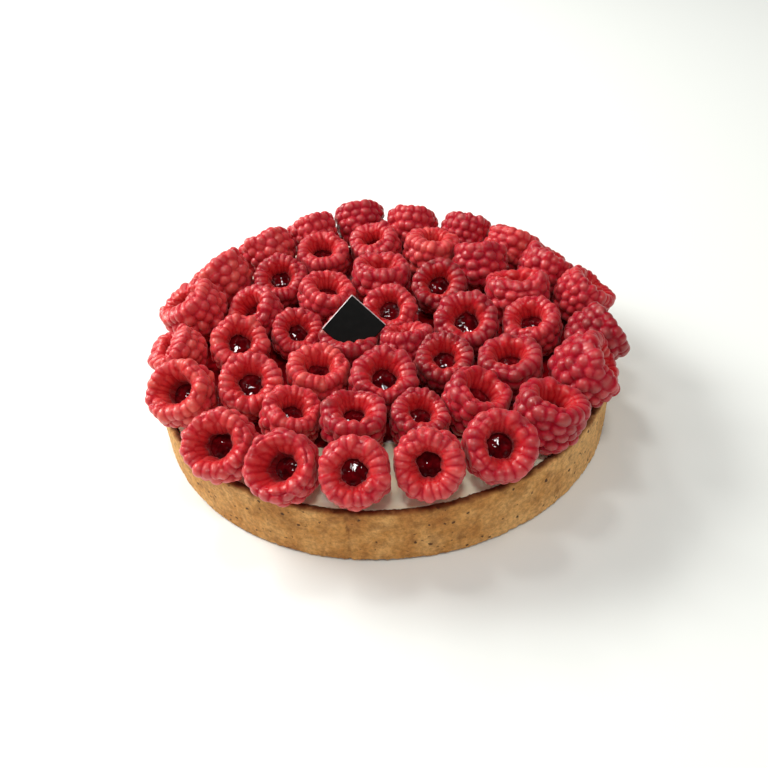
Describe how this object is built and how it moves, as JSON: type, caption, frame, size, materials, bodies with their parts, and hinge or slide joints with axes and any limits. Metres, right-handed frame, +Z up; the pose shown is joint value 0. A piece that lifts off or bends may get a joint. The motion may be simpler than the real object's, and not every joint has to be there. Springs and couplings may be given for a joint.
{
  "type": "raspberry tart",
  "caption": "Round raspberry tart: straight-sided baked sweet pastry crust filled with cream, covered with rings of whole raspberries whose hollows hold jam, with a small plain black plaque",
  "frame": {"origin": "middle of the flat base of the crust, where the tart stands", "axes": "+Z up; the front of the tart, as it is seen, is at -Y; +X to the right"},
  "size_m": [0.1588, 0.1632, 0.0451],
  "materials": {
    "pastry": "baked sweet pastry, matte and slightly gritty",
    "cream": "smooth pale cream with a soft sheen",
    "raspberry": "fresh raspberry, moist with a fine down",
    "plaque": "smooth black plaque, plain"
  },
  "bodies": {
    "root": {"crust": "pastry", "cream": "cream", "berry_outer_1": "raspberry", "berry_outer_2": "raspberry", "berry_outer_3": "raspberry", "berry_outer_4": "raspberry", "berry_outer_5": "raspberry", "berry_outer_6": "raspberry", "berry_outer_7": "raspberry", "berry_outer_8": "raspberry", "berry_outer_9": "raspberry", "berry_outer_10": "raspberry", "berry_outer_11": "raspberry", "berry_outer_12": "raspberry", "berry_outer_13": "raspberry", "berry_outer_14": "raspberry", "berry_outer_15": "raspberry", "berry_outer_16": "raspberry", "berry_outer_17": "raspberry", "berry_outer_18": "raspberry", "berry_outer_19": "raspberry", "berry_outer_20": "raspberry", "berry_middle_1": "raspberry", "berry_middle_2": "raspberry", "berry_middle_3": "raspberry", "berry_middle_4": "raspberry", "berry_middle_5": "raspberry", "berry_middle_6": "raspberry", "berry_middle_7": "raspberry", "berry_middle_8": "raspberry", "berry_middle_9": "raspberry", "berry_middle_10": "raspberry", "berry_middle_11": "raspberry", "berry_middle_12": "raspberry", "berry_middle_13": "raspberry", "berry_middle_14": "raspberry", "berry_middle_15": "raspberry", "berry_inner_1": "raspberry", "berry_inner_2": "raspberry", "berry_inner_3": "raspberry", "berry_inner_4": "raspberry", "berry_inner_5": "raspberry", "berry_inner_6": "raspberry", "berry_inner_7": "raspberry", "berry_inner_8": "raspberry", "berry_centre_1": "raspberry", "berry_centre_2": "raspberry", "berry_centre_3": "raspberry", "tag": "plaque"}
  },
  "joints": []
}
